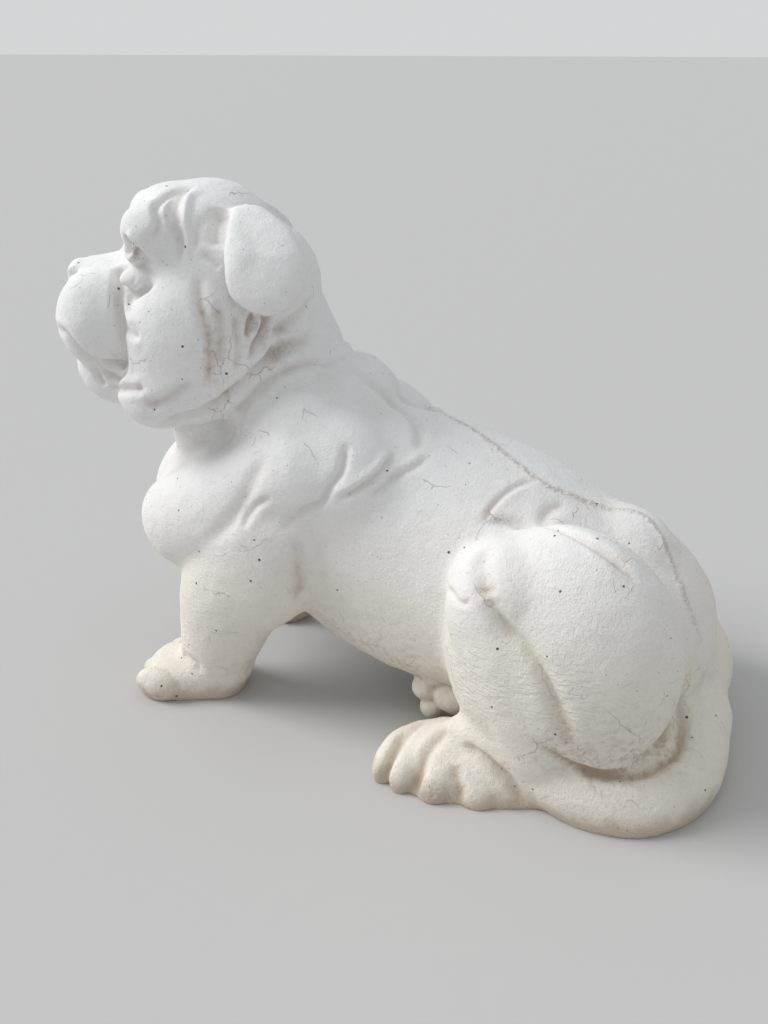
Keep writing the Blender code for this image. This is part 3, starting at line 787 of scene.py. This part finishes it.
class StudioSetup(bpy.types.PropertyGroup):
    """Floor, light and camera"""

    floor: bpy.props.FloatVectorProperty(
        name="Floor", description="Colour of the plain floor", subtype="COLOR", size=4,
        min=0, max=1, default=(0.54, 0.535, 0.53, 1.0))
    horizon: bpy.props.FloatVectorProperty(
        name="Horizon", description="Light of the room where it meets the floor", subtype="COLOR", size=4,
        min=0, max=1, default=(0.66, 0.665, 0.67, 1.0))
    room: bpy.props.FloatVectorProperty(
        name="Room", description="Light of the walls of the room", subtype="COLOR", size=4,
        min=0, max=1, default=(0.34, 0.35, 0.365, 1.0))
    ceiling: bpy.props.FloatVectorProperty(
        name="Ceiling", description="Light of the room overhead", subtype="COLOR", size=4,
        min=0, max=1, default=(0.74, 0.755, 0.77, 1.0))
    key: bpy.props.FloatProperty(
        name="Key", description="Strength of the broad light from the dog's front", default=2.15)
    azimuth: bpy.props.FloatProperty(
        name="Azimuth", description="Side that the camera looks from; 0 looks at the dog's face",
        subtype="ANGLE", default=radians(112))
    elevation: bpy.props.FloatProperty(
        name="Elevation", description="How far the camera looks down", subtype="ANGLE", default=radians(25))
    distance: bpy.props.FloatProperty(
        name="Distance", description="From the camera to the place it looks at", unit="LENGTH", default=0.85)


# Noises of the concrete: waves to the metre, detail and roughness
WIDE = (11.0, 3.0)
PATCHES = (55.0, 4.0, 0.6)
SPECKLE = (420.0, 3.0, 0.6)
SMEARS = (150.0, 5.0, 0.7)
BREAKS = (30.0, 2.0)
SAND = (640.0, 3.0, 0.7)
GRIT = (240.0, 2.0, 0.6)
WRINKLES = (300.0, 3.0)

# Air holes and pores: cells to the metre, usual radius as a share of a cell, and the share of the cells with one
HOLES = (120.0, 0.135, 0.15)
PORES = (330.0, 0.17, 0.10)

# Cracks: cells to the metre, and width as a share of a cell
CRACKS = (24.0, 0.007)

# Darker cement in the patches and the speckle
SHADE = (0.52, 0.49, 0.44, 1.0)

# How high each thing rises in the relief, in millimetres
RELIEF = {"patches": 0.5, "wrinkles": 0.6, "crumbs": 2.5, "holes": -1.6, "pores": -0.5, "cracks": -0.4}


def readings(tree):
    """What colour and relief are worked out from: the height, the skin's marks, noises, holes and cracks."""
    place = node(tree, "TexCoord").outputs["Object"]
    found = {"place": place}
    for name in ("crease", "hollow_shade", "seam", "stain_and_shade", "bare", "drag"):
        found[name] = node(tree, "Attribute", attribute_name=name).outputs["Fac"]
    found["height"] = node(tree, "SeparateXYZ", {"Vector": place}).outputs["Z"]
    found["patches"] = clouds(tree, place, *PATCHES)
    found["speckle"] = clouds(tree, place, *SPECKLE)
    found["drift"] = maths(tree, "MULTIPLY_ADD", clouds(tree, place, *WIDE), 0.16, found["height"])
    found["holes"] = air_holes(tree, place, *HOLES)
    found["pores"] = air_holes(tree, place, *PORES)
    broken = maths(tree, "MULTIPLY_ADD", found["stain_and_shade"], 0.22, clouds(tree, place, *BREAKS))
    cracked = level(tree, broken, 0.60, 0.67)
    found["cracks"] = maths(tree, "MULTIPLY", hair_cracks(tree, place, *CRACKS), cracked)
    return found


def cement_colour(tree, finish, found):
    """Cream below and cool white above, with soft clouds between, and bluish where it is bare."""
    colour = blend(tree, level(tree, found["drift"], 0.33, 0.13), finish.cool, finish.warm)
    shade = blend(tree, 0.5, colour, SHADE)
    colour = blend(tree, level(tree, found["patches"], 0.52, 0.80, 0.0, 0.30), colour, shade)
    colour = blend(tree, level(tree, found["speckle"], 0.56, 0.76, 0.0, 0.35), colour, shade)
    bare = maths(tree, "MULTIPLY", found["bare"], level(tree, found["patches"], 0.36, 0.52))
    return blend(tree, maths(tree, "MULTIPLY", bare, 0.8), colour, finish.bare)


def dirt_and_shade_share(tree, found):
    """Brown dirt and painted shade in the creases and hollows and in the stains, dirt splashed up from the
    ground, and along the seam.
    """
    stain_and_shade_weight = maths(tree, "MULTIPLY_ADD", found["stain_and_shade"], 0.7, 0.10)
    # the creases get brown dirt and painted shade, the hollows painted shade, strongest where the stains lie
    crease_dirt_and_shade = maths(tree, "MULTIPLY", maths(tree, "ADD", found["crease"], found["hollow_shade"]), stain_and_shade_weight)
    # the stains, real dirt and painted shade alike, broken into smears
    smeared = level(tree, clouds(tree, found["place"], *SMEARS), 0.44, 0.70, 0.0, 0.50)
    smeared_stain_and_shade = maths(tree, "MULTIPLY", found["stain_and_shade"], smeared)
    lowest = maths(tree, "MULTIPLY_ADD", found["patches"], -0.03, found["height"])
    splash = level(tree, lowest, 0.012, -0.010, 0.0, 0.5)
    joint = maths(tree, "MULTIPLY", found["seam"], level(tree, found["speckle"], 0.42, 0.62, 0.05, 0.45))
    dirt_and_shade = maths(tree, "ADD", maths(tree, "ADD", crease_dirt_and_shade, smeared_stain_and_shade), maths(tree, "ADD", splash, joint))
    return maths(tree, "MINIMUM", dirt_and_shade, 0.75)


def relief(tree, finish, found):
    """Height of the surface in millimetres: the sandy grain, and everything in RELIEF times its rise."""
    place = found["place"]
    sandy = level(tree, maths(tree, "ADD", found["drift"], found["bare"]), 0.40, 0.12, 0.6, 1.0)
    grains = maths(tree, "ADD", clouds(tree, place, *SAND), clouds(tree, place, *GRIT))
    rise = maths(tree, "MULTIPLY", grains, maths(tree, "MULTIPLY", sandy, finish.grain))
    flattened = node(tree, "VectorMath", {0: place, 1: (0.3, 0.3, 1.0)}, operation="MULTIPLY").outputs[0]
    dragged = level(tree, clouds(tree, flattened, *WRINKLES), 0.42, 0.60)
    found["wrinkles"] = maths(tree, "MULTIPLY", found["drag"], dragged)
    found["crumbs"] = maths(tree, "MULTIPLY", found["seam"], found["speckle"])
    for name, height in RELIEF.items():
        rise = maths(tree, "MULTIPLY_ADD", found[name], height, rise)
    return rise


def concrete(finish):
    """Cast concrete: sandy grain, air holes and cracks, white above and cream below, with brown dirt and painted
    shade.
    """
    material, shader = bare_material("cast_concrete", finish.cool, 0.93)
    tree = material.node_tree
    found = readings(tree)
    colour = cement_colour(tree, finish, found)
    # brown dirt and painted shade in the creases, hollows and stains
    colour = blend(tree, dirt_and_shade_share(tree, found), colour, finish.dirt_and_shade)
    colour = blend(tree, maths(tree, "MULTIPLY", found["cracks"], 0.6), colour, finish.dirt_and_shade)
    # painted shade in the pores and the air holes
    colour = blend(tree, maths(tree, "MULTIPLY", found["pores"], 0.7), colour, finish.dirt_and_shade)
    colour = blend(tree, found["holes"], colour, finish.pit_shade)
    tree.links.new(colour, shader.inputs["Base Color"])
    bump = node(tree, "Bump", {"Height": relief(tree, finish, found), "Distance": 0.001, "Strength": 1.0})
    tree.links.new(bump.outputs["Normal"], shader.inputs["Normal"])
    return material


class STATUE_OT_cast_skin(bpy.types.Operator):
    """Shapes the fine skin of the statue and gives it its concrete"""

    bl_idname = "statue.cast_skin"
    bl_label = "Cast skin"

    def execute(self, context):
        skin = shape_skin(context.scene.statue_form)
        skin.name = "statue_skin"
        skin.materials.append(concrete(context.scene.statue_finish))
        skin.shade_smooth()
        statue = bpy.data.objects.new("statue_skin", skin)
        context.scene.collection.objects.link(statue)
        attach(statue, "root")
        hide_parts("bulldog_statue")
        return {"FINISHED"}


# The place the camera looks at, in metres from the origin, and the lens and the sensor in millimetres
LOOK_AT = Vector((0.0305, -0.010, 0.190))
FILM = 36.0
LENS = 35.16

# The key light: how far it stands to the left of the dog's face and above the ground, and how wide it looks
KEY_SIDE = radians(17)
KEY_RISE = radians(40)
KEY_SPREAD = radians(30)

# How far the floor reaches each way, in metres
FLOOR_REACH = 60


class STATUE_OT_studio(bpy.types.Operator):
    """Sets the pale floor, the pale room, the key light and the camera"""

    bl_idname = "statue.studio"
    bl_label = "Studio"

    def towards(self, azimuth, elevation):
        """The direction to a place round the dog; azimuth 0 is before it, and 90 degrees is on its left."""
        return Vector((sin(azimuth) * cos(elevation), -cos(azimuth) * cos(elevation), sin(elevation)))

    def surroundings(self, setup):
        """A pale room: light along the horizon, darker on its walls and brightest overhead."""
        world = bpy.data.worlds.new("studio")
        world.use_nodes = True
        tree = world.node_tree
        upward = node(tree, "SeparateXYZ", {"Vector": node(tree, "TexCoord").outputs["Generated"]}).outputs["Z"]
        room = blend(tree, level(tree, upward, 0.02, 0.45), setup.horizon, setup.room)
        room = blend(tree, level(tree, upward, 0.45, 0.90), room, setup.ceiling)
        tree.links.new(room, tree.nodes["Background"].inputs["Color"])
        return world

    def floor(self, setup):
        """A level square of pale floor."""
        mesh = bpy.data.meshes.new("studio_floor")
        corners = [(x * FLOOR_REACH, y * FLOOR_REACH, 0) for x, y in ((-1, -1), (1, -1), (1, 1), (-1, 1))]
        mesh.from_pydata(corners, [], [(0, 1, 2, 3)])
        mesh.materials.append(bare_material("studio_floor", setup.floor, 0.9)[0])
        return bpy.data.objects.new("studio_floor", mesh)

    def key_light(self, setup):
        """One broad light from before the dog, a little to its left."""
        lamp = bpy.data.lights.new("key", "SUN")
        lamp.energy = setup.key
        lamp.angle = KEY_SPREAD
        light = bpy.data.objects.new("key", lamp)
        light.rotation_mode = "QUATERNION"
        light.rotation_quaternion = (-self.towards(KEY_SIDE, KEY_RISE)).to_track_quat("-Z", "Y")
        return light

    def camera(self, setup):
        """The camera at the photograph's angle."""
        camera = bpy.data.objects.new("camera", bpy.data.cameras.new("camera"))
        camera.data.sensor_width = FILM
        camera.data.lens = LENS
        back = self.towards(setup.azimuth, setup.elevation)
        camera.location = LOOK_AT + back * setup.distance
        camera.rotation_mode = "QUATERNION"
        camera.rotation_quaternion = (-back).to_track_quat("-Z", "Y")
        camera.data.clip_start = 0.01
        return camera

    def execute(self, context):
        scene = context.scene
        setup = scene.statue_studio
        floor = self.floor(setup)
        camera = self.camera(setup)
        for thing in (floor, self.key_light(setup), camera):
            scene.collection.objects.link(thing)
        scene.world = self.surroundings(setup)
        scene.view_settings.view_transform = "Standard"
        scene.camera = camera
        return {"FINISHED"}


class STATUE_PT_panel(bpy.types.Panel):
    """Shows the statue's sizes, finish and studio settings, and the buttons that cast the skin and set the
    studio
    """

    bl_label = "Bulldog statue"
    bl_idname = "STATUE_PT_panel"
    bl_space_type = "VIEW_3D"
    bl_region_type = "UI"
    bl_category = "Statue"

    def draw(self, context):
        for group in (context.scene.statue_form, context.scene.statue_finish, context.scene.statue_studio):
            box = self.layout.box()
            for name in group.__annotations__:
                box.prop(group, name)
        self.layout.operator("statue.cast_skin")
        self.layout.operator("statue.studio")


CLASSES = (StatueForm, ConcreteFinish, StudioSetup, STATUE_OT_cast_skin, STATUE_OT_studio, STATUE_PT_panel)


def register():
    for part in CLASSES:
        bpy.utils.register_class(part)
    bpy.types.Scene.statue_form = bpy.props.PointerProperty(type=StatueForm)
    bpy.types.Scene.statue_finish = bpy.props.PointerProperty(type=ConcreteFinish)
    bpy.types.Scene.statue_studio = bpy.props.PointerProperty(type=StudioSetup)


def unregister():
    del bpy.types.Scene.statue_studio
    del bpy.types.Scene.statue_finish
    del bpy.types.Scene.statue_form
    for part in reversed(CLASSES):
        bpy.utils.unregister_class(part)


def main():
    register()
    bpy.ops.statue.cast_skin()
    bpy.ops.statue.studio()


if __name__ == "__main__":
    main()
